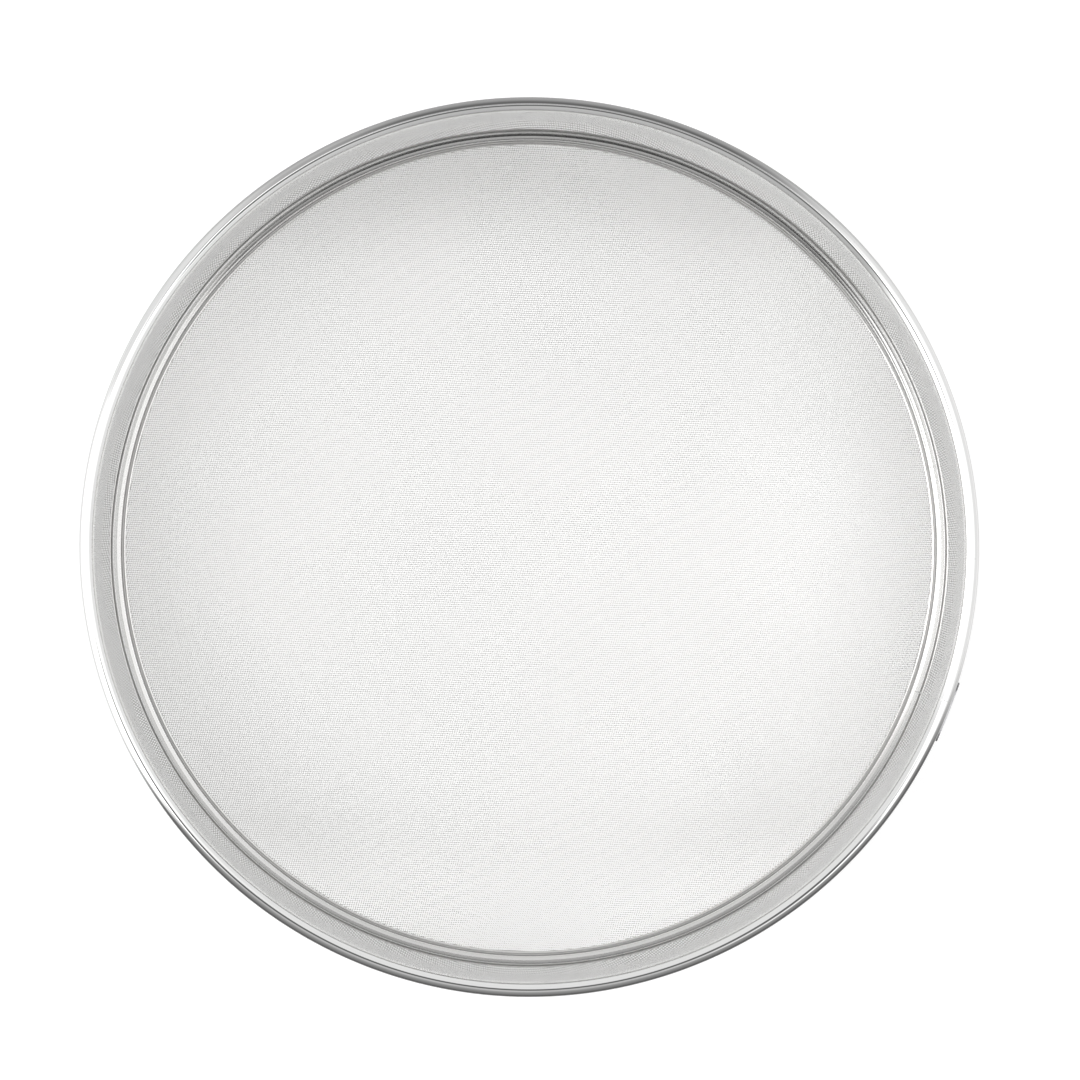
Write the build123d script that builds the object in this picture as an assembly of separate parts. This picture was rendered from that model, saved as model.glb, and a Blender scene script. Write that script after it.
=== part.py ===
from build123d import *
from math import cos, degrees, hypot, radians, sin, sqrt
import os

# A tamis drum sieve. Millimetres and degrees, +Z up, origin on the drum's axis at its foot.

# The whole drum
outer_diameter = 300.0
drum_height = 75.0
screen_height = 15.0
joint_gap = 0.15
fit_clearance = 0.1

# Drum hoop: a rolled strip, curled outwards at the top and turned in at the foot
hoop_thickness = 0.6
foot_bend_radius = 0.2
curl_turn = 305.0
hoop_seam_angle = -20.4

# Wire inside the curl
rim_wire_diameter = 3.4
wire_clearance = 0.2
wire_joint_angle = 159.6

# Plate over the outside of the hoop's seam
strap_width = 21.0
strap_thickness = 0.5
strap_top_drop = 0.5
strap_face_height = 4.5
strap_joggle_height = 4.5
strap_foot_clearance = 7.0
strap_corner_radius = 2.5
strap_top_corner_radius = 0.8
strap_angle = -21.6
weld_diameter = 3.2
weld_depth = 0.12
weld_spacing = 13.0
weld_rows = 4
weld_end_share = 0.13

# Wire cloth, drawn with the open share of the fine cloth but with fewer, larger gaps
cloth_thickness = 0.5
cloth_edge_clearance = 0.4
gaps_across = 17.0
gap_side_share = 2 / 3
least_gap_area_share = 0.15
weft_angle = -2.4
warp_angle = 75.4

# The width that the rings above and below the cloth share
ring_width = 2.9

# Ring above the cloth
bead_width = 1.35
bead_height = 3.0
bead_edge_radius = 0.5
groove_floor_thickness = 0.35
lip_width = 0.7
lip_height = 1.1
retaining_joint_angle = 11.3

# Ring below the cloth, an angle that stands on the hoop's foot
seat_thickness = 0.6
seat_bend_radius = 0.6
seat_joint_angle = 191.3

# Sizes that follow
rim_radius = outer_diameter / 2
curl_radius = rim_wire_diameter / 2 + wire_clearance + hoop_thickness
curl_centre_radius = rim_radius - curl_radius
curl_centre_height = drum_height - curl_radius
wall_inside_radius = curl_centre_radius - curl_radius
wall_outside_radius = wall_inside_radius + hoop_thickness
ring_outside_radius = wall_inside_radius - fit_clearance
ring_inside_radius = wall_inside_radius - ring_width
web_inside_radius = ring_outside_radius - seat_thickness
foot_flat_radius = wall_inside_radius - foot_bend_radius
cloth_underside = screen_height - cloth_thickness


def section(*edges):
    """The face that these edges close, in radius and height, standing upright beside the axis."""
    return Plane.XZ * make_face(Curve() + list(edges))


def rolled(profile, joint_angle, joint_radius):
    """A section rolled round the drum's axis into a hoop whose two ends nearly meet."""
    gap_angle = degrees(joint_gap / joint_radius)
    hoop = revolve(profile, Axis.Z, 360 - gap_angle)
    return Rot(Z=joint_angle + gap_angle / 2) * hoop


def drum_hoop():
    """The wall, with its curl round the rim wire and its turned-in foot."""
    inner_curl_radius = curl_radius - hoop_thickness
    outer_bend_radius = foot_bend_radius + hoop_thickness
    bend_centre = (foot_flat_radius, outer_bend_radius)
    curl_centre = (curl_centre_radius, curl_centre_height)
    curl_inside = CenterArc(curl_centre, inner_curl_radius, 180, -curl_turn)
    curl_outside = CenterArc(curl_centre, curl_radius, 180 - curl_turn, curl_turn)
    profile = section(
        CenterArc(bend_centre, outer_bend_radius, -90, 90),
        Line((wall_outside_radius, outer_bend_radius), curl_inside @ 0),
        curl_inside,
        Line(curl_inside @ 1, curl_outside @ 0),
        curl_outside,
        Line(curl_outside @ 1, (wall_inside_radius, outer_bend_radius)),
        CenterArc(bend_centre, foot_bend_radius, 0, -90),
        Polyline(
            (foot_flat_radius, hoop_thickness),
            (web_inside_radius, hoop_thickness),
            (web_inside_radius, 0),
            (foot_flat_radius, 0),
        ),
    )
    return rolled(profile, hoop_seam_angle, wall_inside_radius)


def rim_wire():
    """The round wire inside the curl, with its own butt joint."""
    centre = Pos(curl_centre_radius, curl_centre_height)
    profile = Plane.XZ * centre * Circle(rim_wire_diameter / 2)
    return rolled(profile, wire_joint_angle, curl_centre_radius)


def retaining_ring():
    """The ring above the cloth: a bead beside the wall, rounded on its inner edge, a groove and a lip."""
    bead_inside = ring_outside_radius - bead_width
    bead_top = screen_height + bead_height
    bead_shoulder = bead_top - bead_edge_radius
    inner_edge = bead_inside + bead_edge_radius
    lip_radius = lip_width / 2
    lip_outside = ring_inside_radius + lip_width
    lip_shoulder = screen_height + lip_height - lip_radius
    groove_floor = screen_height + groove_floor_thickness
    profile = section(
        Polyline(
            (ring_inside_radius, lip_shoulder),
            (ring_inside_radius, screen_height),
            (ring_outside_radius, screen_height),
            (ring_outside_radius, bead_top),
            (inner_edge, bead_top),
        ),
        CenterArc((inner_edge, bead_shoulder), bead_edge_radius, 90, 90),
        Polyline(
            (bead_inside, bead_shoulder),
            (bead_inside, groove_floor),
            (lip_outside, groove_floor),
            (lip_outside, lip_shoulder),
        ),
        CenterArc((ring_inside_radius + lip_radius, lip_shoulder), lip_radius, 0, 180),
    )
    return rolled(profile, retaining_joint_angle, ring_outside_radius)


def seat_ring():
    """The angle ring under the cloth: its web stands on the hoop's foot, its flange carries the edge."""
    outer_bend_radius = seat_bend_radius + seat_thickness
    bend_centre = (ring_outside_radius - outer_bend_radius, cloth_underside - outer_bend_radius)
    flange_base = cloth_underside - seat_thickness
    profile = section(
        Polyline(
            (web_inside_radius, bend_centre[1]),
            (web_inside_radius, hoop_thickness),
            (foot_flat_radius, hoop_thickness),
            (ring_outside_radius, hoop_thickness + foot_bend_radius),
            (ring_outside_radius, bend_centre[1]),
        ),
        CenterArc(bend_centre, outer_bend_radius, 0, 90),
        Polyline(
            (bend_centre[0], cloth_underside),
            (ring_inside_radius, cloth_underside),
            (ring_inside_radius, flange_base),
            (bend_centre[0], flange_base),
        ),
        CenterArc(bend_centre, seat_bend_radius, 90, -90),
    )
    return rolled(profile, seat_joint_angle, ring_outside_radius)


def direction(angle):
    """The level unit vector at this angle."""
    return Vector(cos(radians(angle)), sin(radians(angle)))


def mesh_screen():
    """The cloth as one holed face, given its thickness. Its wires cross at the cloth's own slant."""
    along_weft, along_warp = direction(weft_angle), direction(warp_angle)
    slant_sine = sin(radians(warp_angle - weft_angle))
    step = 2 * ring_inside_radius / gaps_across / slant_sine
    half_side = step * gap_side_share / 2
    least_area = (2 * half_side) ** 2 * slant_sine * least_gap_area_share
    opening = Face(Wire(Edge.make_circle(ring_inside_radius)))
    reach = range(-int(gaps_across), int(gaps_across) + 1)
    gaps = []
    for row in reach:
        for column in reach:
            middle = along_weft * (column * step) + along_warp * (row * step)
            if middle.length > ring_inside_radius + step:
                continue
            corners = [
                middle + along_weft * (half_side * x) + along_warp * (half_side * y)
                for x, y in ((-1, -1), (1, -1), (1, 1), (-1, 1))
            ]
            gap = Face(Wire.make_polygon(corners, close=True))
            if max(corner.length for corner in corners) > ring_inside_radius:
                inside = gap & opening
                if not inside or inside.faces()[0].area < least_area:
                    continue
                gap = inside.faces()[0]
            gaps.append(gap.outer_wire())
    print("gaps in the cloth:", len(gaps))
    edge = Wire(Edge.make_circle(wall_inside_radius - cloth_edge_clearance))
    net = extrude(Face(edge, gaps), cloth_thickness, dir=(0, 0, 1))
    return Pos(Z=cloth_underside) * net


def strap_section():
    """The plate's side view: upright beside the curl, joggled in below it and down the wall."""
    face_radius = rim_radius + fit_clearance
    wall_radius = wall_outside_radius + fit_clearance
    top = curl_centre_height - strap_top_drop
    face_end = top - strap_face_height
    joggle_end = face_end - strap_joggle_height
    slope_share = strap_joggle_height / hypot(strap_joggle_height, face_radius - wall_radius)
    corner_drop = strap_thickness * (1 - slope_share) / sqrt(1 - slope_share**2)
    return Polyline(
        (face_radius, top),
        (face_radius, face_end),
        (wall_radius, joggle_end),
        (wall_radius, strap_foot_clearance),
        (wall_radius + strap_thickness, strap_foot_clearance),
        (wall_radius + strap_thickness, joggle_end - corner_drop),
        (face_radius + strap_thickness, face_end - corner_drop),
        (face_radius + strap_thickness, top),
        close=True,
    )


def seam_strap():
    """The flat plate over the seam, spot-welded to the wall each side of it."""
    plate = extrude(Plane.XZ * make_face(strap_section()), strap_width / 2, both=True)
    across = plate.edges().filter_by(Axis.X)
    plate = fillet(across.group_by(Axis.Z)[0], strap_corner_radius)
    plate = fillet(plate.edges().filter_by(Axis.X).group_by(Axis.Z)[-1], strap_top_corner_radius)
    outside = wall_outside_radius + fit_clearance + strap_thickness
    wall_top = curl_centre_height - strap_top_drop - strap_face_height - strap_joggle_height
    length = wall_top - strap_foot_clearance
    lowest = strap_foot_clearance + length * weld_end_share
    rise = length * (1 - 2 * weld_end_share) / (weld_rows - 1)
    for row in range(weld_rows):
        for way in (-1, 1):
            place = Pos(outside, way * weld_spacing / 2, lowest + row * rise)
            plate -= place * Rot(Y=90) * Cylinder(weld_diameter / 2, 2 * weld_depth)
    return Rot(Z=strap_angle) * plate


pieces = {
    "drum_hoop": drum_hoop,
    "rim_wire": rim_wire,
    "seam_strap": seam_strap,
    "retaining_ring": retaining_ring,
    "mesh_screen": mesh_screen,
    "seat_ring": seat_ring,
}

os.makedirs("parts", exist_ok=True)
for name, make in pieces.items():
    export_step(make(), f"parts/{name}.step")
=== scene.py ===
import math
import bpy
import numpy as np
from mathutils import Matrix, Vector


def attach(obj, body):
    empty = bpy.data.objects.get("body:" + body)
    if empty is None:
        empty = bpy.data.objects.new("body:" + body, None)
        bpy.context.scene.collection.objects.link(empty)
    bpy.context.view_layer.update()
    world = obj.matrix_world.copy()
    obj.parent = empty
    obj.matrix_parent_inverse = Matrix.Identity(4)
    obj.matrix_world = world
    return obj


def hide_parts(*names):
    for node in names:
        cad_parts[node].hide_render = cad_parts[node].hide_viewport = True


# A tamis drum sieve. Lengths are millimetres times MM, angles are degrees, +Z is up.

MM = 0.001
TURN = 360.0
WHITE = (1.0, 1.0, 1.0, 1.0)

# The whole drum, as the solids have it
RIM_RADIUS = 150.0 * MM
DRUM_HEIGHT = 75.0 * MM
SCREEN_HEIGHT = 15.0 * MM
WALL_INSIDE_RADIUS = 145.0 * MM
RING_INSIDE_RADIUS = 142.1 * MM
RING_OUTSIDE_RADIUS = 144.9 * MM

# Drum hoop
HOOP_THICKNESS = 0.6 * MM
HOOP_EDGE_RADIUS = 0.12 * MM
HOOP_SEAM_ANGLE = -20.4
HOOP_SEAM_GAP = 0.08 * MM
CURL_RADIUS = 2.5 * MM
CURL_CENTRE = (RIM_RADIUS - CURL_RADIUS, DRUM_HEIGHT - CURL_RADIUS)
CURL_TURN = 305.0
WALL_END_LENGTH = 0.2 * MM
FOOT_BEND_RADIUS = 0.2 * MM
WEB_INSIDE_RADIUS = 144.3 * MM

# Wire inside the curl
RIM_WIRE_DIAMETER = 3.4 * MM
RIM_WIRE_JOINT_ANGLE = 159.6
RIM_WIRE_GAP = 0.15 * MM

# Ring above the cloth
BEAD_WIDTH = 1.35 * MM
BEAD_HEIGHT = 3.0 * MM
BEAD_INSIDE_RADIUS = RING_OUTSIDE_RADIUS - BEAD_WIDTH
BEAD_EDGE_RADIUS = 0.3 * MM
BEAD_CREST_RADIUS = 3 * BEAD_EDGE_RADIUS
BEAD_CREST_SHARE = 0.72
BEAD_OUTER_FALL = 0.2 * MM
BEAD_INNER_FALL = 0.02 * MM
BEAD_OUTER_EDGE_RADIUS = 0.03 * MM
BEAD_WALL_GAP = 0.01 * MM
GROOVE_FLOOR = 0.35 * MM
GROOVE_CORNER_RADIUS = 0.34 * MM
RING_CORNER_RADIUS = 0.12 * MM
LIP_WIDTH = 0.7 * MM
LIP_HEIGHT = 1.1 * MM
LIP_OUTSIDE_RADIUS = RING_INSIDE_RADIUS + LIP_WIDTH
LIP_EDGE_SHARE = 0.98
RETAINING_JOINT_ANGLE = 11.3
RING_GAP = 0.1 * MM

# Ring below the cloth
SEAT_THICKNESS = 0.6 * MM
SEAT_BEND_RADIUS = 0.6 * MM
SEAT_EDGE_RADIUS = 0.1 * MM
SEAT_JOINT_ANGLE = 191.3

# Woven cloth. A wire ends this share of the pitch past its last crossing at least, and the fill keeps
# wires that cross from touching.
CLOTH_THICKNESS = 0.5 * MM
CLOTH_RADIUS = 144.6 * MM
WIRE_DIAMETER = 0.25 * MM
WIRE_PITCH = 0.777 * MM
WIRE_SIDES = 4
WIRE_END_SHARE = 0.3
WIRE_FILL_SHARE = 0.99
WEFT_ANGLE = -2.4
WARP_ANGLE = 75.4
CLOTH_BANDS = 5

# Slight waves of the cloth along X, then along Y: turns by x, turns by y, phase in radians, share
CLOTH_DRIFT = 0.12 * MM
CLOTH_DRIFT_LENGTH = 95.0 * MM
CLOTH_DRIFT_WAVES = (
    ((0.8, 1.1, 1.3, 1.0), (1.9, -1.2, 4.0, 0.6)),
    ((1.2, -0.7, 2.1, 1.0), (1.4, 2.1, 0.4, 0.6)),
)

# Plate over the seam
STRAP_WIDTH = 21.0 * MM
STRAP_THICKNESS = 0.5 * MM
STRAP_CLEARANCE = 0.02 * MM
STRAP_BEND_RADIUS = 300.0 * MM
STRAP_TOP_DROP = 0.5 * MM
STRAP_TOP = DRUM_HEIGHT - CURL_RADIUS - STRAP_TOP_DROP
STRAP_FACE_HEIGHT = 4.5 * MM
STRAP_JOGGLE_HEIGHT = 4.5 * MM
STRAP_FOOT_CLEARANCE = 7.0 * MM
STRAP_CORNER_RADIUS = 2.5 * MM
STRAP_TOP_CORNER_RADIUS = 0.8 * MM
STRAP_EDGE_RADIUS = 0.1 * MM
STRAP_ANGLE = -21.6
STRAP_STEP = 0.25 * MM
STRAP_COLUMNS = 84
WELD_DIAMETER = 3.2 * MM
WELD_DEPTH = 0.12 * MM
WELD_SPACING = 13.0 * MM
WELD_ROWS = 4
WELD_END_SHARE = 0.13

# Fineness of the turned pieces and of the studio's
STEPS_AROUND = 720
STAGE_STEPS = 96
DEGREES_PER_STEP = 7.5
SHARP_ANGLE = 40.0

# Steel of each slot: name, colour, roughness, strength of the grain, spread of the roughness, edge tint
STEELS = {
    "hoop_steel": ("polished hoop steel", (0.82, 0.82, 0.815), 0.02, 0.012, 0.008, 0.78),
    "ring_steel": ("polished ring steel", (0.86, 0.855, 0.845), 0.12, 0.1, 0.03, 0.9),
    "strap_steel": ("satin plate steel", (0.8, 0.8, 0.82), 0.16, 0.2, 0.05, 0.9),
    "wire_steel": ("drawn wire steel", (0.66, 0.66, 0.65), 0.38, 0.4, 0.08, 1.0),
    "cloth_steel": ("woven wire steel", (0.79, 0.785, 0.775), 0.3, 0.1, 0.08, 1.0),
}

# What every steel has: noises as scale and detail, and the heights of a noise between which a look changes
LINE_NOISE = (1.0, 3.0)
LINE_NOISE_ROUGHNESS = 0.6
LINES_ALONG = 22.0
LINES_ACROSS = 9000.0
LINE_HEIGHTS = (0.3, 0.7)
LINE_DEPTH = 0.01 * MM
PATCH_NOISE = (26.0, 3.0)
PATCH_HEIGHTS = (0.35, 0.7)
PATCH_SHADE_HEIGHTS = (0.3, 0.7)
PATCH_SHADE = 0.97
SPECK_NOISE = (900.0, 2.0)
SPECK_HEIGHTS = (0.68, 0.76)
SPECK_COVER = 0.15
SPECK_SHADE = 0.7
SPECK_DEPTH_SHARE = 0.4

# The hoop's softer band inside below the curl, and its seam
SOFT_BAND_RADII = (WALL_INSIDE_RADIUS + 0.2 * MM, WALL_INSIDE_RADIUS + 0.4 * MM)
SOFT_BAND_TOP = (DRUM_HEIGHT - 5.0 * MM, DRUM_HEIGHT - 3.0 * MM)
SOFT_BAND_FOOT = (52.0 * MM, 60.0 * MM)
SOFT_BAND_ROUGHNESS = 0.16
SEAM_WIDTHS = (0.125 * MM, 0.25 * MM)
SEAM_COLOUR = (0.95, 0.95, 0.94, 1.0)
SEAM_ROUGHNESS = 0.4

# The ring's groove: painted shade darkens its colour where shade falls, and its roughness is raised
GROOVE_LIP_RADII = (LIP_OUTSIDE_RADIUS - 0.12 * MM, LIP_OUTSIDE_RADIUS)
GROOVE_BEAD_RADII = (BEAD_INSIDE_RADIUS, BEAD_INSIDE_RADIUS + 0.05 * MM)
GROOVE_HEIGHTS = (SCREEN_HEIGHT + 0.7 * MM, SCREEN_HEIGHT + 1.6 * MM)
GROOVE_PAINTED_SHADE = 0.75
GROOVE_ROUGHNESS = 0.4

# The plate's heat marks, upper corners darkened as a painted reflection of dark surroundings, and rough top
# edge
HEAT_RADII = (0.45 * WELD_DIAMETER, WELD_DIAMETER)
HEAT_RISES = (3.0 * MM, 4.0 * MM)
HEAT_COVER = 0.55
HEAT_COLOUR = (0.56, 0.47, 0.36, 1.0)
HEAT_ROUGHNESS = 0.2
PLATE_CORNER_PLACES = (7.0 * MM, 8.0 * MM)
PLATE_CORNER_HEIGHTS = (66.0 * MM, 69.0 * MM)
PLATE_CORNER_PAINTED_REFLECTION = 0.4
PLATE_TOP_HEIGHTS = (STRAP_TOP - 0.15 * MM, STRAP_TOP - 0.05 * MM)
PLATE_TOP_ROUGHNESS = 0.5

# Camera, straight above the drum and a little off its axis
IMAGE_SIDE_PX = 1080.0
FOCAL_LENGTH_PX = 2980.0
SENSOR_WIDTH_MM = 36.0
CAMERA_CLIP_START = 10.0 * MM
CAMERA_PLACE = Vector((-2.3, -7.8, 1066.0)) * MM
CAMERA_DIRECTION = Vector((0.0058, 0.0100, -1.0))

# World: levels by the lean from straight up, as a share of a right angle. A side fades out between the
# two angles of its spread, and the left one gets narrower by its share between the two leans.
BACK_LEVELS = ((0.0, 0.42), (0.1, 0.62), (0.2, 0.95), (0.45, 0.92), (0.72, 0.95), (1.0, 0.86))
FRONT_LEVELS = ((0.0, 0.42), (0.12, 0.6), (0.3, 0.64), (0.6, 0.58), (1.0, 0.5))
FRONT_EDGE = 0.12
SIDE_STRENGTH = 2.9
RIGHT_AZIMUTH = -8.0
RIGHT_SPREAD = (30.0, 72.0)
RIGHT_LEVELS = ((0.0, 0.6), (0.3, 0.48), (0.6, 0.33), (1.0, 0.33))
LEFT_AZIMUTH = 188.0
LEFT_SPREAD = (24.0, 50.0)
LEFT_NARROWING = 0.55
LEFT_NARROWING_LEANS = (0.2, 0.45)
LEFT_LEVELS = ((0.0, 0.6), (0.15, 0.8), (0.45, 0.88), (0.8, 0.88), (1.0, 0.55))

# Grey cards round the rim: levels from foot to top, and by azimuth how high a card reaches and how much of
# it shows. A mirror shows a card that is near it, and none that is far.
CARD_RADIUS = 175.0 * MM
CARD_EDGE = 14.0 * MM
CARD_FOOT_FADE = 15.0 * MM
CARD_REACH = (170.0 * MM, 250.0 * MM)
CARDS = {
    "front_card": {
        "foot": 46.0 * MM,
        "top": 129.0 * MM,
        "levels": (
            (0.0, 0.03),
            (0.05, 0.04),
            (0.16, 0.08),
            (0.32, 0.17),
            (0.43, 0.24),
            (0.54, 0.31),
            (0.68, 0.38),
            (0.91, 0.55),
        ),
        "tops": (
            (-158.0, 0.23),
            (-146.0, 0.5),
            (-137.0, 0.77),
            (-126.0, 1.0),
            (-75.0, 1.0),
            (-60.0, 0.85),
            (-30.0, 0.74),
            (-10.0, 0.48),
        ),
        "shows": ((-158.0, 0.0), (-142.0, 1.0), (-30.0, 1.0), (-10.0, 0.0)),
    },
    "back_card": {
        "foot": 52.0 * MM,
        "top": 230.0 * MM,
        "levels": (
            (0.0, 0.45),
            (0.1, 0.45),
            (0.16, 0.4),
            (0.2, 0.34),
            (0.25, 0.24),
            (0.33, 0.17),
            (0.5, 0.16),
            (1.0, 0.3),
        ),
        "tops": ((40.0, 0.8), (60.0, 1.0), (118.0, 1.0), (154.0, 0.9)),
        "shows": ((40.0, 0.0), (64.0, 1.0), (104.0, 1.0), (120.0, 0.6), (138.0, 0.0)),
    },
}

# Dark card beside the camera, where the photographer stands: levels from its near edge to its far one.
# On the right its near edge slants away.
STAND_HEIGHT = 1000.0 * MM
STAND_HALF_WIDTH = 360.0 * MM
STAND_NEAR = -15.0 * MM
STAND_FAR = -480.0 * MM
STAND_EDGE = 50.0 * MM
STAND_SLANT_FROM = 40.0 * MM
STAND_SLANT = 0.7
STAND_LEVELS = ((0.0, 0.08), (0.4, 0.12), (1.0, 0.62))

# Floor: what the camera and clear surfaces see of it, what mirrors see, and what lights the object.
# Under the cloth's edge its glow is painted shadow that goes by the place from front to back, darkest at
# the back and lighter at the very front, and mirrors see painted shadow there too.
FLOOR_RADIUS = 4000.0 * MM
FLOOR_DROP = 0.02 * MM
FLOOR_MATT = 0.5
FLOOR_UNSEEN = 0.8
FLOOR_GLOW = 0.73
FLOOR_GLOW_OUTSIDE = 0.62
FLOOR_EDGE_PAINTED_SHADOW = ((0.0, 0.9), (0.07, 0.63), (0.5, 0.59), (0.93, 0.63), (1.0, 0.46))
FLOOR_EDGE_RADII = (0.58 * RIM_RADIUS, 0.97 * RIM_RADIUS)
FLOOR_OUTSIDE_RADII = (0.97 * RIM_RADIUS, RIM_RADIUS)
FLOOR_MIRRORED = 0.95
FLOOR_MIRRORED_PAINTED_SHADOW = 0.8
FLOOR_MIRRORED_RADII = (0.82 * RIM_RADIUS, 0.9 * RIM_RADIUS)
FLOOR_MIRRORED_OUTSIDE = 0.0
FLOOR_MIRRORED_SIDES = 0.5
FLOOR_SIDE_SPREAD = (18.0, 60.0)

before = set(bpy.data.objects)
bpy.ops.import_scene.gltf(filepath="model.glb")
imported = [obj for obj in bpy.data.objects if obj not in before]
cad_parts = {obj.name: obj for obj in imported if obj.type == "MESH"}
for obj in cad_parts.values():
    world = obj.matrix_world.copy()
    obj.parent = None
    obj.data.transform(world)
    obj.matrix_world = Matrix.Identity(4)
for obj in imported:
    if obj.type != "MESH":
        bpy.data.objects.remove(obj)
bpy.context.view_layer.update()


def turned(angle):
    """Cosine and sine of an angle in degrees."""
    return math.cos(math.radians(angle)), math.sin(math.radians(angle))


def arc(centre, radius, start, turn):
    """Points of an arc in radius and height, both ends included."""
    steps = max(2, math.ceil(abs(turn) / DEGREES_PER_STEP))
    points = []
    for step in range(steps + 1):
        across, up = turned(start + turn * step / steps)
        points.append((centre[0] + radius * across, centre[1] + radius * up))
    return points


def softened(corners, radii):
    """The closed outline through these corners, each rounded by its own radius where that isn't zero."""
    points = []
    count = len(corners)
    for index, corner in enumerate(corners):
        radius = radii[index]
        if not radius:
            points.append(tuple(corner))
            continue
        here = Vector(corner)
        before = (Vector(corners[index - 1]) - here).normalized()
        after = (Vector(corners[(index + 1) % count]) - here).normalized()
        half = before.angle(after) / 2
        middle = here + (before + after).normalized() * (radius / math.sin(half))
        first = here + before * (radius / math.tan(half)) - middle
        last = here + after * (radius / math.tan(half)) - middle
        start = math.degrees(math.atan2(first.y, first.x))
        turn = math.degrees(first.angle_signed(last))
        points.extend(arc(middle, radius, start, -turn))
    return points


def direction(line, index):
    """Which way a line of points runs at one of them."""
    before = line[max(index - 1, 0)]
    after = line[min(index + 1, len(line) - 1)]
    return (after - before).normalized()


def strip_section(line, thickness, edge_radius):
    """The closed outline of a sheet that follows this line of points, with eased edges."""
    line = [Vector(point) for point in line]
    left, right = [], []
    for index, point in enumerate(line):
        ahead = direction(line, index)
        aside = Vector((-ahead.y, ahead.x)) * (thickness / 2)
        left.append(point + aside)
        right.append(point - aside)
    outline = left + right[::-1]
    radii = [0.0] * len(outline)
    for index in (0, len(left) - 1, len(left), len(outline) - 1):
        radii[index] = edge_radius
    return softened([tuple(point) for point in outline], radii)


def linked(name, data):
    """An object of this data in the scene."""
    made = bpy.data.objects.new(name, data)
    bpy.context.scene.collection.objects.link(made)
    return made


def mesh_object(name, vertices, faces):
    """A smooth-shaded object of these vertices and faces, with its sharp edges kept crisp."""
    mesh = bpy.data.meshes.new(name)
    mesh.from_pydata([tuple(vertex) for vertex in vertices], [], faces)
    mesh.validate()
    mesh.update()
    mesh.shade_smooth()
    mesh.set_sharp_from_angle(angle=math.radians(SHARP_ANGLE))
    return linked(name, mesh)


def rolled(name, outline, joint_angle, gap):
    """The outline, in radius and height, turned round the axis into a hoop whose ends nearly meet."""
    section = np.array(outline)
    radius, height = section[:, 0], section[:, 1]
    area = np.sum(radius * np.roll(height, -1) - np.roll(radius, -1) * height)
    if area < 0:
        radius, height = radius[::-1], height[::-1]
    count = len(section)
    gap_angle = math.degrees(gap / WALL_INSIDE_RADIUS)
    turns = (TURN - gap_angle) * np.linspace(0, 1, STEPS_AROUND + 1)
    angles = np.radians(joint_angle + gap_angle / 2 + turns)
    across = np.outer(np.cos(angles), radius)
    along = np.outer(np.sin(angles), radius)
    up = np.broadcast_to(height, across.shape)
    vertices = np.stack([across, along, up], axis=-1).reshape(-1, 3)
    faces = []
    for column in range(STEPS_AROUND):
        for row in range(count):
            beside = (row + 1) % count
            here, there = column * count, (column + 1) * count
            faces.append((here + row, there + row, there + beside, here + beside))
    faces.append(tuple(range(count)))
    faces.append(tuple(STEPS_AROUND * count + row for row in reversed(range(count))))
    return mesh_object(name, vertices, faces)


def drum_hoop():
    """The rolled wall with its curl and its turned-in foot."""
    middle_radius = WALL_INSIDE_RADIUS + HOOP_THICKNESS / 2
    bend_radius = FOOT_BEND_RADIUS + HOOP_THICKNESS / 2
    bend_centre = (middle_radius - bend_radius, FOOT_BEND_RADIUS + HOOP_THICKNESS)
    line = [(WEB_INSIDE_RADIUS, HOOP_THICKNESS / 2)]
    line += arc(bend_centre, bend_radius, -90, 90)
    line.append((middle_radius, bend_centre[1] + WALL_END_LENGTH))
    line.append((middle_radius, CURL_CENTRE[1] - WALL_END_LENGTH))
    line += arc(CURL_CENTRE, CURL_RADIUS - HOOP_THICKNESS / 2, 180, -CURL_TURN)
    outline = strip_section(line, HOOP_THICKNESS, HOOP_EDGE_RADIUS)
    return rolled("hoop", outline, HOOP_SEAM_ANGLE, HOOP_SEAM_GAP)


def rim_wire():
    """The round wire inside the curl."""
    outline = arc(CURL_CENTRE, RIM_WIRE_DIAMETER / 2, 0, TURN)[:-1]
    return rolled("curl_wire", outline, RIM_WIRE_JOINT_ANGLE, RIM_WIRE_GAP)


def retaining_ring():
    """The ring above the cloth: a crowned bead beside the wall, a groove and an inner lip."""
    base = SCREEN_HEIGHT
    top = base + BEAD_HEIGHT
    lip_top = base + LIP_HEIGHT
    lip_edge = LIP_WIDTH / 2 * LIP_EDGE_SHARE
    outside = WALL_INSIDE_RADIUS - BEAD_WALL_GAP
    outline = (
        (RING_INSIDE_RADIUS, base, RING_CORNER_RADIUS),
        (outside, base, RING_CORNER_RADIUS),
        (outside, top - BEAD_OUTER_FALL, BEAD_OUTER_EDGE_RADIUS),
        (RING_OUTSIDE_RADIUS - BEAD_WIDTH * BEAD_CREST_SHARE, top, BEAD_CREST_RADIUS),
        (BEAD_INSIDE_RADIUS, top - BEAD_INNER_FALL, BEAD_EDGE_RADIUS),
        (BEAD_INSIDE_RADIUS, base + GROOVE_FLOOR, GROOVE_CORNER_RADIUS),
        (LIP_OUTSIDE_RADIUS, base + GROOVE_FLOOR, GROOVE_CORNER_RADIUS),
        (LIP_OUTSIDE_RADIUS, lip_top, lip_edge),
        (RING_INSIDE_RADIUS, lip_top, lip_edge),
    )
    corners = [(radius, height) for radius, height, edge in outline]
    edges = [edge for radius, height, edge in outline]
    return rolled("clamp_ring", softened(corners, edges), RETAINING_JOINT_ANGLE, RING_GAP)


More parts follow.
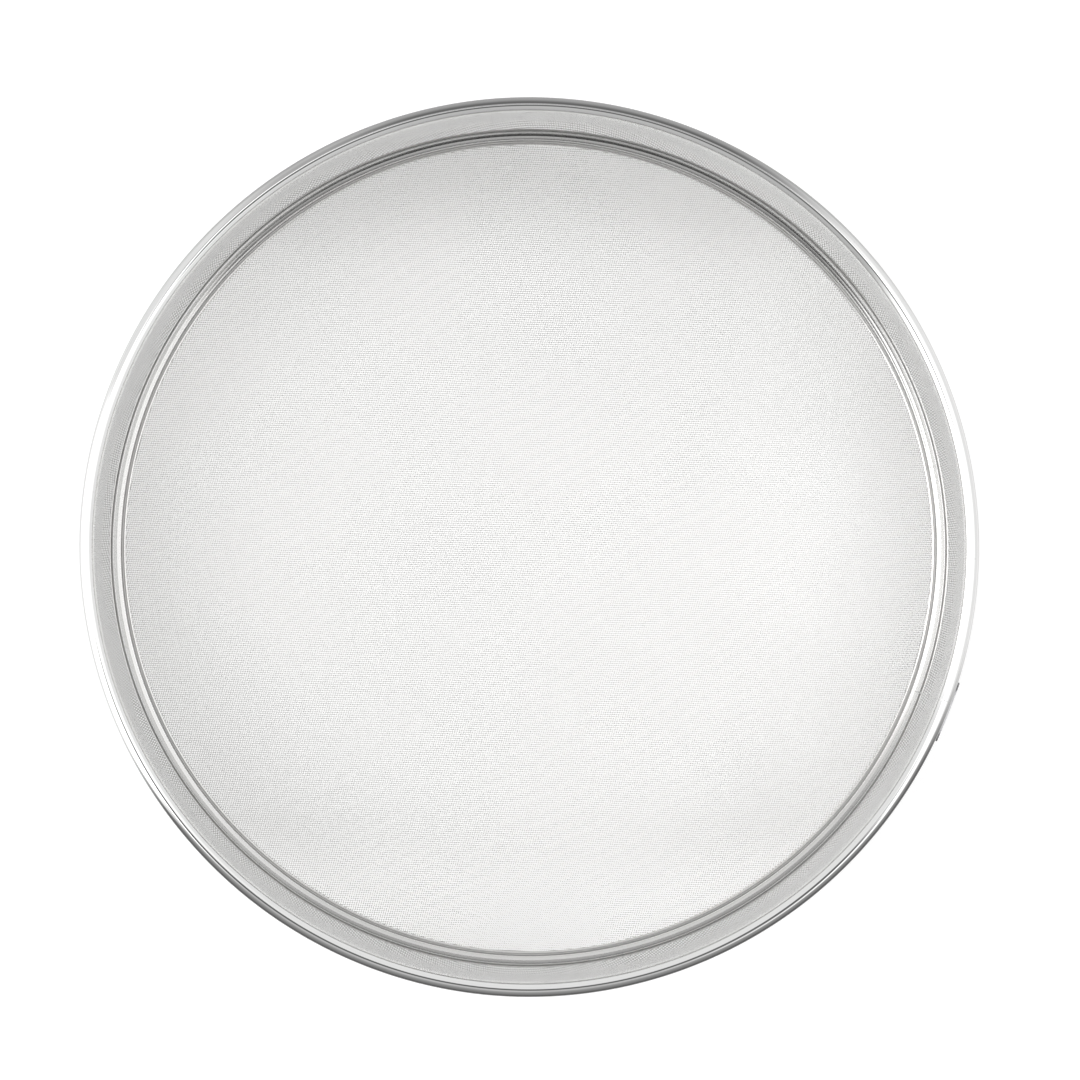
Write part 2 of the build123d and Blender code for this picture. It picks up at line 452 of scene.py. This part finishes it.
def seat_ring():
    """The angle ring under the cloth's edge: an upright web and a flange."""
    middle_radius = RING_OUTSIDE_RADIUS - SEAT_THICKNESS / 2
    bend_radius = SEAT_BEND_RADIUS + SEAT_THICKNESS / 2
    high = SCREEN_HEIGHT - CLOTH_THICKNESS - SEAT_THICKNESS / 2
    line = [(middle_radius, HOOP_THICKNESS)]
    line += arc((middle_radius - bend_radius, high - bend_radius), bend_radius, 0, 90)
    line.append((RING_INSIDE_RADIUS, high))
    outline = strip_section(line, SEAT_THICKNESS, SEAT_EDGE_RADIUS)
    return rolled("seat_angle", outline, SEAT_JOINT_ANGLE, RING_GAP)


def drifted(places):
    """Places in the cloth's plane, moved by the slight waves that every woven cloth has."""
    x, y = places[:, 0], places[:, 1]
    turn = 2 * math.pi / CLOTH_DRIFT_LENGTH
    moves = []
    for waves in CLOTH_DRIFT_WAVES:
        move = np.zeros(len(places))
        for by_x, by_y, phase, share in waves:
            move += share * np.sin(turn * (by_x * x + by_y * y) + phase)
        moves.append(move)
    return places + CLOTH_DRIFT * np.stack(moves, axis=1)


def wire_places(own_angle, other_angle, number):
    """Where one wire of the cloth crosses the others, and on which side of them, from edge to edge."""
    own = np.array(turned(own_angle))
    other = np.array(turned(other_angle))
    foot = other * (number * WIRE_PITCH)
    middle = -float(own @ other) * number * WIRE_PITCH
    nearest = foot + own * middle
    inside = CLOTH_RADIUS**2 - float(nearest @ nearest)
    if inside <= WIRE_PITCH**2:
        return None
    reach = math.sqrt(inside)
    first = math.ceil((middle - reach) / WIRE_PITCH + WIRE_END_SHARE)
    last = math.floor((middle + reach) / WIRE_PITCH - WIRE_END_SHARE)
    crossings = np.arange(first, last + 1)
    along = np.concatenate([[middle - reach], crossings * WIRE_PITCH, [middle + reach]])
    sides = np.where((crossings + number) % 2, 1.0, -1.0)
    return foot + np.outer(along, own), np.concatenate([[0.0], sides, [0.0]])


def quad_object(name, vertices, quads):
    """A smooth-shaded object of many vertices and four-sided faces, with a flat map seen from above."""
    mesh = bpy.data.meshes.new(name)
    mesh.vertices.add(len(vertices))
    mesh.vertices.foreach_set("co", vertices.ravel())
    mesh.loops.add(quads.size)
    mesh.loops.foreach_set("vertex_index", quads.ravel())
    mesh.polygons.add(len(quads))
    mesh.polygons.foreach_set("loop_start", np.arange(len(quads)) * 4)
    mesh.update(calc_edges=True)
    mesh.shade_smooth()
    flat = mesh.uv_layers.new(name="OFBake")
    share = vertices[quads.ravel()][:, :2] / (2 * RIM_RADIUS) + 0.5
    flat.data.foreach_set("uv", share.ravel())
    return linked(name, mesh)


def cloth_band(name, own_angle, other_angle, numbers, over):
    """A band of neighbouring wires of the cloth, each waving over and under the wires that it crosses."""
    swing = (CLOTH_THICKNESS - WIRE_DIAMETER) / 2 * over
    middle_height = SCREEN_HEIGHT - CLOTH_THICKNESS / 2
    half = WIRE_DIAMETER / 2 * WIRE_FILL_SHARE
    around = np.arange(WIRE_SIDES)[None, :]
    vertices, quads, ends = [], [], []
    total = 0
    for number in numbers:
        found = wire_places(own_angle, other_angle, number)
        if found is None:
            continue
        places, heights = found
        places = drifted(places)
        ahead = np.gradient(places, axis=0)
        ahead /= np.linalg.norm(ahead, axis=1)[:, None]
        aside = np.stack([-ahead[:, 1], ahead[:, 0]], axis=1)
        count = len(places)
        rings = np.zeros((count, WIRE_SIDES, 3))
        for side in range(WIRE_SIDES):
            across, up = turned(TURN * side / WIRE_SIDES)
            rings[:, side, :2] = places + aside * (half * across)
            rings[:, side, 2] = middle_height + swing * heights + half * up
        vertices.append(rings.reshape(-1, 3))
        starts = total + np.arange(count - 1)[:, None] * WIRE_SIDES
        here, beside = starts + around, starts + (around + 1) % WIRE_SIDES
        corners = [here, here + WIRE_SIDES, beside + WIRE_SIDES, beside]
        quads.append(np.stack(corners, axis=-1).reshape(-1, 4))
        last = total + (count - 1) * WIRE_SIDES
        ends.append([total, total + 1, total + 2, total + 3])
        ends.append([last + 3, last + 2, last + 1, last])
        total += count * WIRE_SIDES
    return quad_object(name, np.concatenate(vertices), np.concatenate(quads + [np.array(ends)]))


def woven_cloth():
    """All the wires of the cloth, in bands: the weft from side to side and the slanting warp."""
    most = math.ceil(CLOTH_RADIUS / (WIRE_PITCH * turned(WARP_ANGLE - WEFT_ANGLE)[1]))
    numbers = np.arange(-most, most + 1)
    shares = np.cumsum(np.sqrt(np.clip(1 - (numbers / most) ** 2, 0, 1)))
    band = np.minimum((shares / shares[-1] * CLOTH_BANDS).astype(int), CLOTH_BANDS - 1)
    bands = []
    for index in range(CLOTH_BANDS):
        chosen = numbers[band == index]
        bands.append(cloth_band(f"cloth_weft_{index + 1}", WEFT_ANGLE, WARP_ANGLE, chosen, 1))
        bands.append(cloth_band(f"cloth_warp_{index + 1}", WARP_ANGLE, WEFT_ANGLE, chosen, -1))
    return bands


def strap_corners():
    """The middle of the plate's side view, from its lower end up: wall, joggle and upright face."""
    wall = WALL_INSIDE_RADIUS + HOOP_THICKNESS + STRAP_CLEARANCE + STRAP_THICKNESS / 2
    face = RIM_RADIUS + STRAP_CLEARANCE + STRAP_THICKNESS / 2
    face_end = STRAP_TOP - STRAP_FACE_HEIGHT
    joggle_end = face_end - STRAP_JOGGLE_HEIGHT
    return [(wall, STRAP_FOOT_CLEARANCE), (wall, joggle_end), (face, face_end), (face, STRAP_TOP)]


def strap_line():
    """The points of the plate's side view, close together, and how far along it each one is."""
    corners = [Vector(point) for point in strap_corners()]
    line, travelled = [], []
    for start, end in zip(corners, corners[1:]):
        count = max(2, round((end - start).length / STRAP_STEP))
        line += [start.lerp(end, index / count) for index in range(count)]
    line.append(corners[-1])
    for index, point in enumerate(line):
        travelled.append(travelled[-1] + (point - line[index - 1]).length if index else 0.0)
    return line, travelled


def weld_places():
    """Where the spot welds are: height, and distance from the plate's middle line."""
    lowest, highest = [height for radius, height in strap_corners()[:2]]
    length = highest - lowest
    rise = length * (1 - 2 * WELD_END_SHARE) / (WELD_ROWS - 1)
    places = []
    for row in range(WELD_ROWS):
        for way in (-1, 1):
            places.append((lowest + length * WELD_END_SHARE + row * rise, way * WELD_SPACING / 2))
    return places


def rounded_off(distance, radius):
    """How far a rounded edge has drawn back at this distance from its end."""
    if distance >= radius:
        return 0.0
    return radius - math.sqrt(max(radius**2 - (radius - distance) ** 2, 0))


def weld_depth(welds, height, across):
    """How deep the spot welds have pressed the plate in here."""
    for weld_height, weld_across in welds:
        share = math.hypot(height - weld_height, across - weld_across) / (WELD_DIAMETER / 2)
        if share < 1:
            return WELD_DEPTH * (1 - share**4)
    return 0.0


def sheet_faces(rows, columns):
    """The faces of a closed sheet, so many points by so many faces: outside, inside and four edges."""
    width = columns + 1
    inside = rows * width
    faces = []
    for row in range(rows - 1):
        for column in range(columns):
            here = row * width + column
            there = here + inside
            faces.append((here, here + 1, here + 1 + width, here + width))
            faces.append((there, there + width, there + 1 + width, there + 1))
    for column in range(columns):
        top = (rows - 1) * width + column
        faces.append((column + 1, column, column + inside, column + 1 + inside))
        faces.append((top, top + 1, top + 1 + inside, top + inside))
    for row in range(rows - 1):
        left = row * width
        right = left + columns
        faces.append((left, left + width, left + width + inside, left + inside))
        faces.append((right + width, right, right + inside, right + width + inside))
    return faces


def seam_strap():
    """The flat plate over the seam, with rounded corners, eased edges and the dimples of its spot welds."""
    line, travelled = strap_line()
    welds = weld_places()
    outside, inside = [], []
    for index, point in enumerate(line):
        ahead = direction(line, index)
        out = Vector((ahead.y, -ahead.x))
        from_foot, from_top = travelled[index], travelled[-1] - travelled[index]
        half_width = STRAP_WIDTH / 2
        half_width -= rounded_off(from_foot, STRAP_CORNER_RADIUS)
        half_width -= rounded_off(from_top, STRAP_TOP_CORNER_RADIUS)
        for column in range(STRAP_COLUMNS + 1):
            across = half_width * (2 * column / STRAP_COLUMNS - 1)
            bow = across**2 / (2 * STRAP_BEND_RADIUS)
            nearest = min(half_width - abs(across), from_foot, from_top)
            half = STRAP_THICKNESS / 2 - rounded_off(nearest, STRAP_EDGE_RADIUS)
            outer = point + out * (half - weld_depth(welds, point.y, across))
            inner = point - out * half
            outside.append((outer.x - bow, across, outer.y))
            inside.append((inner.x - bow, across, inner.y))
    made = mesh_object("seam_plate", outside + inside, sheet_faces(len(line), STRAP_COLUMNS))
    made.data.transform(Matrix.Rotation(math.radians(STRAP_ANGLE), 4, "Z"))
    return made


def grey(level):
    """A grey of this level."""
    return (level, level, level, 1.0)


class Nodes:
    """A short way to write a node tree."""

    def __init__(self, tree):
        self.tree = tree
        tree.nodes.clear()

    def add(self, kind, inputs=None, **settings):
        """A node of this kind with its settings, and its inputs as values or as links."""
        node = self.tree.nodes.new(kind)
        for name, value in settings.items():
            setattr(node, name, value)
        for name, value in (inputs or {}).items():
            if isinstance(value, bpy.types.NodeSocket):
                self.tree.links.new(value, node.inputs[name])
            else:
                node.inputs[name].default_value = value
        return node

    def math(self, operation, *values):
        """The result of a math node."""
        return self.add("ShaderNodeMath", dict(enumerate(values)), operation=operation).outputs[0]

    def plus(self, first, second):
        """The sum of two numbers."""
        return self.math("ADD", first, second)

    def minus(self, first, second):
        """The first number less the second."""
        return self.math("SUBTRACT", first, second)

    def times(self, first, second):
        """The product of two numbers."""
        return self.math("MULTIPLY", first, second)

    def share(self, first, second):
        """The first number divided by the second."""
        return self.math("DIVIDE", first, second)

    def length(self, x, y):
        """How far a place is from the origin of a plane."""
        return self.math("SQRT", self.plus(self.times(x, x), self.times(y, y)))

    def aside(self, x, y, azimuth):
        """How far a place is to the left of the line that leaves the axis at this azimuth."""
        cosine, sine = turned(azimuth)
        return self.minus(self.times(y, cosine), self.times(x, sine))

    def span(self, value, low, high, first=0.0, last=1.0):
        """A value moved smoothly from one range to another, and held at its ends."""
        inputs = {"Value": value, "From Min": low, "From Max": high, "To Min": first, "To Max": last}
        return self.add("ShaderNodeMapRange", inputs, interpolation_type="SMOOTHSTEP").outputs[0]

    def fade(self, value, low, high):
        """1 up to the first value, 0 from the second."""
        return self.span(value, low, high, 1.0, 0.0)

    def ramp(self, value, stops):
        """A level that follows these stops of (value, level) smoothly."""
        node = self.add("ShaderNodeValToRGB", {"Fac": value})
        elements = node.color_ramp.elements
        node.color_ramp.interpolation = "EASE"
        while len(elements) < len(stops):
            elements.new(1.0)
        for element, (place, level) in zip(elements, stops):
            element.position = place
            element.color = grey(level)
        return node.outputs["Color"]

    def parts(self, vector):
        """X, Y and Z of a vector."""
        return self.add("ShaderNodeSeparateXYZ", {0: vector}).outputs

    def blend(self, share, first, second):
        """A number between two numbers."""
        return self.add("ShaderNodeMix", {0: share, 2: first, 3: second}, data_type="FLOAT").outputs[0]

    def tint(self, share, first, second, way="MIX"):
        """A colour between two colours, or the first one mixed with the second in another way."""
        inputs = {0: share, 6: first, 7: second}
        return self.add("ShaderNodeMix", inputs, data_type="RGBA", blend_type=way).outputs[2]

    def darker(self, share, shade, level):
        """A colour multiplied by the level where the share is 1."""
        return self.tint(share, shade, grey(level), "MULTIPLY")

    def noise(self, vector, scale, detail, roughness=0.5, w=None):
        """The height of a noise texture, around a half, in four dimensions where w is given."""
        inputs = {"Vector": vector, "Scale": scale, "Detail": detail, "Roughness": roughness}
        if w is None:
            return self.add("ShaderNodeTexNoise", inputs).outputs[0]
        inputs["W"] = w
        return self.add("ShaderNodeTexNoise", inputs, noise_dimensions="4D").outputs[0]


def dimmed(colour, level):
    """A colour at a share of its level."""
    return [level * part for part in colour] + [1.0]


def steel(name, colour, roughness, grain, spread, edge_tint, finish_and_painted_shade):
    """Steel with grain that runs round the drum, soft patches, fine specks and a finish of its own, which
    paints shade in the ring's groove and a dark reflection on the plate's corners.
    """
    material = bpy.data.materials.new(name)
    material.use_nodes = True
    nodes = Nodes(material.node_tree)
    place = nodes.add("ShaderNodeTexCoord").outputs["Object"]
    x, y, z = nodes.parts(place)
    radius = nodes.length(x, y)
    stretches = zip((x, y, z), (LINES_ALONG, LINES_ALONG, LINES_ACROSS))
    stretched = {index: nodes.times(part, stretch) for index, (part, stretch) in enumerate(stretches)}
    slow = nodes.add("ShaderNodeCombineXYZ", stretched).outputs[0]
    lines = nodes.noise(slow, *LINE_NOISE, LINE_NOISE_ROUGHNESS, nodes.times(radius, LINES_ACROSS))
    patches = nodes.noise(place, *PATCH_NOISE)
    specks = nodes.noise(place, *SPECK_NOISE)
    rough = nodes.plus(
        nodes.span(lines, *LINE_HEIGHTS, roughness - spread, roughness + spread),
        nodes.span(patches, *PATCH_HEIGHTS, -spread / 2, spread / 2),
    )
    patched = nodes.span(patches, *PATCH_SHADE_HEIGHTS)
    shade = nodes.tint(patched, dimmed(colour, PATCH_SHADE), dimmed(colour, 1.0))
    speckled = nodes.span(specks, *SPECK_HEIGHTS, 0.0, SPECK_COVER)
    shade = nodes.tint(speckled, shade, dimmed(colour, SPECK_SHADE))
    height = nodes.plus(lines, nodes.times(specks, SPECK_DEPTH_SHARE))
    if finish_and_painted_shade:
        shade, rough = finish_and_painted_shade(nodes, (x, y, z), radius, shade, rough)
    inputs = {"Strength": grain, "Distance": LINE_DEPTH, "Height": height}
    bump = nodes.add("ShaderNodeBump", inputs).outputs[0]
    inputs = {"Base Color": shade, "Roughness": rough, "Normal": bump, "Metallic": 1.0}
    inputs["Specular Tint"] = grey(edge_tint)
    surface = nodes.add("ShaderNodeBsdfPrincipled", inputs).outputs[0]
    nodes.add("ShaderNodeOutputMaterial", {"Surface": surface})
    return material


def wall_finish(nodes, place, radius, shade, rough):
    """The hoop's softer band inside below the curl, and the ground line of its seam."""
    x, y, z = place
    band = nodes.times(nodes.fade(z, *SOFT_BAND_TOP), nodes.span(z, *SOFT_BAND_FOOT))
    soft = nodes.times(nodes.fade(radius, *SOFT_BAND_RADII), band)
    rough = nodes.plus(rough, nodes.times(soft, SOFT_BAND_ROUGHNESS))
    off = nodes.minus(nodes.math("ARCTAN2", y, x), math.radians(HOOP_SEAM_ANGLE))
    away = nodes.times(nodes.math("ABSOLUTE", off), radius)
    seam = nodes.fade(away, *SEAM_WIDTHS)
    return nodes.tint(seam, shade, SEAM_COLOUR), nodes.blend(seam, rough, SEAM_ROUGHNESS)


def groove_painted_shade_and_roughness(nodes, place, radius, shade, rough):
    """The ring's groove: its colour darkened with painted shade, and its roughness raised."""
    across = nodes.times(nodes.span(radius, *GROOVE_LIP_RADII), nodes.fade(radius, *GROOVE_BEAD_RADII))
    shaded_rough_groove = nodes.times(across, nodes.fade(place[2], *GROOVE_HEIGHTS))
    # Painted shade: the groove's colour is darker where it lies in shadow; the raised roughness is the
    # groove's own.
    return nodes.darker(shaded_rough_groove, shade, GROOVE_PAINTED_SHADE), nodes.blend(shaded_rough_groove, rough, GROOVE_ROUGHNESS)


def plate_heat_marks_and_painted_corners(nodes, place, radius, shade, rough):
    """The plate's heat marks round its spot welds, upper corners darker as painted reflection, and a rough
    top edge.
    """
    x, y, z = place
    across = nodes.math("ABSOLUTE", nodes.aside(x, y, STRAP_ANGLE))
    heights = sorted({height for height, aside in weld_places()})
    rise = heights[1] - heights[0]
    row = nodes.share(nodes.minus(z, heights[0]), rise)
    near = nodes.times(nodes.minus(row, nodes.math("ROUND", row)), rise)
    away = nodes.length(nodes.minus(across, WELD_SPACING / 2), near)
    wall = nodes.fade(z, *(heights[-1] + above for above in HEAT_RISES))
    heat = nodes.times(wall, nodes.span(away, *HEAT_RADII, HEAT_COVER, 0.0))
    shade = nodes.tint(heat, shade, HEAT_COLOUR)
    rough = nodes.plus(rough, nodes.times(heat, HEAT_ROUGHNESS))
    # Painted reflection: the upper corners get a darker colour, as if they mirrored dark surroundings.
    corner = nodes.times(nodes.span(across, *PLATE_CORNER_PLACES), nodes.span(z, *PLATE_CORNER_HEIGHTS))
    shade = nodes.darker(corner, shade, PLATE_CORNER_PAINTED_REFLECTION)
    return shade, nodes.blend(nodes.span(z, *PLATE_TOP_HEIGHTS), rough, PLATE_TOP_ROUGHNESS)


def dressed(piece, steels, slot, cad_node):
    """Gives a piece the steel of its slot. It rides on the drum in place of its solid."""
    piece.data.materials.clear()
    piece.data.materials.append(steels[slot])
    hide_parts(cad_node)
    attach(piece, "root")


def build_object():
    """Every piece of the sieve."""
    # The ring's finish paints shade in its groove, and the plate's paints a dark reflection on its upper
    # corners.
    finishes_and_painted_shade = {"hoop_steel": wall_finish, "ring_steel": groove_painted_shade_and_roughness, "strap_steel": plate_heat_marks_and_painted_corners}
    steels = {slot: steel(*facts, finishes_and_painted_shade.get(slot)) for slot, facts in STEELS.items()}
    dressed(drum_hoop(), steels, "hoop_steel", "drum_hoop")
    dressed(rim_wire(), steels, "wire_steel", "rim_wire")
    dressed(retaining_ring(), steels, "ring_steel", "retaining_ring")
    dressed(seat_ring(), steels, "ring_steel", "seat_ring")
    dressed(seam_strap(), steels, "strap_steel", "seam_strap")
    for band in woven_cloth():
        dressed(band, steels, "cloth_steel", "mesh_screen")


def pointed_at(nodes, x, y, azimuth, spread, narrowing=1.0):
    """How much a level direction points at an azimuth: 1 up to one angle off it, 0 from another."""
    cosine, sine = turned(azimuth)
    ahead = nodes.plus(nodes.times(x, cosine), nodes.times(y, sine))
    off = nodes.math("ARCTAN2", nodes.math("ABSOLUTE", nodes.aside(x, y, azimuth)), ahead)
    return nodes.fade(nodes.times(off, narrowing), *(math.radians(angle) for angle in spread))


def studio():
    """Soft light, strongest from the left, then the right and the back. The camera sees plain white."""
    world = bpy.data.worlds.new("studio")
    bpy.context.scene.world = world
    world.use_nodes = True
    nodes = Nodes(world.node_tree)
    x, y, z = nodes.parts(nodes.add("ShaderNodeTexCoord").outputs["Generated"])
    lean = nodes.share(nodes.math("ARCCOSINE", z), math.pi / 2)
    front = nodes.span(y, FRONT_EDGE, -FRONT_EDGE)
    right = pointed_at(nodes, x, y, RIGHT_AZIMUTH, RIGHT_SPREAD)
    narrowing = nodes.span(lean, *LEFT_NARROWING_LEANS, 1.0, 1.0 + LEFT_NARROWING)
    left = pointed_at(nodes, x, y, LEFT_AZIMUTH, LEFT_SPREAD, narrowing)
    glow = nodes.blend(front, nodes.ramp(lean, BACK_LEVELS), nodes.ramp(lean, FRONT_LEVELS))
    glow = nodes.blend(right, glow, nodes.times(nodes.ramp(lean, RIGHT_LEVELS), SIDE_STRENGTH))
    glow = nodes.blend(left, glow, nodes.times(nodes.ramp(lean, LEFT_LEVELS), SIDE_STRENGTH))
    path = nodes.add("ShaderNodeLightPath").outputs
    glow = nodes.blend(path["Is Camera Ray"], glow, 1.0)
    light = nodes.add("ShaderNodeBackground", {"Color": WHITE, "Strength": glow}).outputs[0]
    nodes.add("ShaderNodeOutputWorld", {"Surface": light})


def stage_nodes(made):
    """A new material for a stage object: its node tree, and X, Y and Z of a place on the object."""
    material = bpy.data.materials.new(made.name)
    material.use_nodes = True
    made.data.materials.append(material)
    nodes = Nodes(material.node_tree)
    return nodes, nodes.parts(nodes.add("ShaderNodeTexCoord").outputs["Object"])


def reflected_only(made, nodes, cover, level):
    """Makes a stage object a card of this level that only mirrors show, where cover is 1."""
    glow = nodes.add("ShaderNodeEmission", {"Color": level}).outputs[0]
    clear = nodes.add("ShaderNodeBsdfTransparent").outputs[0]
    surface = nodes.add("ShaderNodeMixShader", {0: cover, 1: clear, 2: glow}).outputs[0]
    nodes.add("ShaderNodeOutputMaterial", {"Surface": surface})
    made.visible_camera = False
    made.visible_diffuse = False
    made.visible_shadow = False


def card(name, foot, top, levels, tops, shows):
    """A curved grey card beside the rim, soft at its top and foot, that the mirrors near it show."""
    first, last = tops[0][0], tops[-1][0]
    vertices = []
    for step in range(STAGE_STEPS + 1):
        across, along = turned(first + (last - first) * step / STAGE_STEPS)
        vertices.append((CARD_RADIUS * across, CARD_RADIUS * along, foot))
        vertices.append((CARD_RADIUS * across, CARD_RADIUS * along, top))
    faces = [(2 * step, 2 * step + 2, 2 * step + 3, 2 * step + 1) for step in range(STAGE_STEPS)]
    made = mesh_object(name, vertices, faces)
    nodes, (x, y, z) = stage_nodes(made)
    azimuth = nodes.math("DEGREES", nodes.math("ARCTAN2", y, x))
    around = nodes.share(nodes.minus(azimuth, first), last - first)
    up = nodes.share(nodes.minus(z, foot), top - foot)
    reach, shown = (
        nodes.ramp(around, [((angle - first) / (last - first), share) for angle, share in stops])
        for stops in (tops, shows)
    )
    cover = nodes.fade(nodes.minus(up, reach), -CARD_EDGE / (top - foot), 0.0)
    cover = nodes.times(cover, nodes.span(up, 0.0, CARD_FOOT_FADE / (top - foot)))
    away = nodes.add("ShaderNodeLightPath").outputs["Ray Length"]
    cover = nodes.times(cover, nodes.fade(away, *CARD_REACH))
    reflected_only(made, nodes, nodes.times(cover, shown), nodes.ramp(up, levels))


def camera_stand():
    """The dark place beside the camera that the ring's flat top mirrors."""
    reach = STAND_HALF_WIDTH
    corners = [(-reach, STAND_FAR), (reach, STAND_FAR), (reach, STAND_NEAR), (-reach, STAND_NEAR)]
    made = mesh_object("camera_stand", [(x, y, STAND_HEIGHT) for x, y in corners], [(0, 1, 2, 3)])
    nodes, (x, y, z) = stage_nodes(made)
    wide = nodes.fade(nodes.math("ABSOLUTE", x), reach - STAND_EDGE, reach)
    beyond = nodes.math("MAXIMUM", nodes.minus(x, STAND_SLANT_FROM), 0.0)
    slanted = nodes.plus(y, nodes.times(beyond, STAND_SLANT))
    near = nodes.fade(slanted, STAND_NEAR - STAND_EDGE, STAND_NEAR)
    far = nodes.span(y, STAND_FAR, STAND_FAR + STAND_EDGE)
    cover = nodes.times(wide, nodes.times(near, far))
    reflected_only(made, nodes, cover, nodes.ramp(nodes.share(y, STAND_FAR), STAND_LEVELS))


def floor():
    """A pale floor that shows as white, keeps a faint shadow, has painted shadow under the cloth's edge and
    has levels of its own for mirrors.
    """
    points = []
    for step in range(STAGE_STEPS):
        across, along = turned(TURN * step / STAGE_STEPS)
        points.append((FLOOR_RADIUS * across, FLOOR_RADIUS * along, -FLOOR_DROP))
    made = mesh_object("floor", points, [tuple(range(STAGE_STEPS))])
    nodes, (x, y, z) = stage_nodes(made)
    path = nodes.add("ShaderNodeLightPath").outputs
    reflected = nodes.math("MAXIMUM", path["Is Glossy Ray"], path["Is Transmission Ray"])
    seen = nodes.math("MAXIMUM", path["Is Camera Ray"], reflected)
    reach = nodes.length(x, y)
    outside = nodes.span(reach, *FLOOR_OUTSIDE_RADII)
    # Painted shadow: the floor's glow under the cloth's edge is lowered, most at the back, and raised at
    # the very front.
    edge = nodes.ramp(nodes.span(y, -RING_INSIDE_RADIUS, RING_INSIDE_RADIUS), FLOOR_EDGE_PAINTED_SHADOW)
    under = nodes.blend(nodes.span(reach, *FLOOR_EDGE_RADII), FLOOR_GLOW, edge)
    under = nodes.blend(outside, under, FLOOR_GLOW_OUTSIDE)
    side = pointed_at(nodes, nodes.math("ABSOLUTE", x), y, 0.0, FLOOR_SIDE_SPREAD)
    beside = nodes.blend(side, FLOOR_MIRRORED_OUTSIDE, FLOOR_MIRRORED_SIDES)
    # Painted shadow: mirrors see the floor darker under the cloth's edge.
    mirrored = nodes.blend(nodes.span(reach, *FLOOR_MIRRORED_RADII), FLOOR_MIRRORED, FLOOR_MIRRORED_PAINTED_SHADOW)
    mirrored = nodes.blend(outside, mirrored, beside)
    ground = nodes.blend(path["Is Camera Ray"], mirrored, under)
    matt = nodes.add("ShaderNodeBsdfDiffuse", {"Color": grey(FLOOR_MATT)}).outputs[0]
    unseen = nodes.add("ShaderNodeBsdfDiffuse", {"Color": grey(FLOOR_UNSEEN)}).outputs[0]
    glow = nodes.add("ShaderNodeEmission", {"Color": WHITE, "Strength": ground}).outputs[0]
    lit = nodes.add("ShaderNodeAddShader", {0: matt, 1: glow}).outputs[0]
    surface = nodes.add("ShaderNodeMixShader", {0: seen, 1: unseen, 2: lit}).outputs[0]
    nodes.add("ShaderNodeOutputMaterial", {"Surface": surface})


def camera():
    """The camera of the photograph."""
    data = bpy.data.cameras.new("camera")
    data.sensor_width = SENSOR_WIDTH_MM
    data.lens = FOCAL_LENGTH_PX / IMAGE_SIDE_PX * SENSOR_WIDTH_MM
    data.clip_start = CAMERA_CLIP_START
    made = linked("camera", data)
    ahead = CAMERA_DIRECTION.normalized()
    right = ahead.cross(Vector((0.0, 1.0, 0.0))).normalized()
    up = right.cross(ahead)
    turn = Matrix((right, up, -ahead)).transposed().to_4x4()
    made.matrix_world = Matrix.Translation(CAMERA_PLACE) @ turn
    bpy.context.scene.camera = made


build_object()
studio()
for name, facts in CARDS.items():
    card(name, **facts)
camera_stand()
floor()
camera()
bpy.context.scene.view_settings.view_transform = "Standard"
bpy.context.view_layer.update()
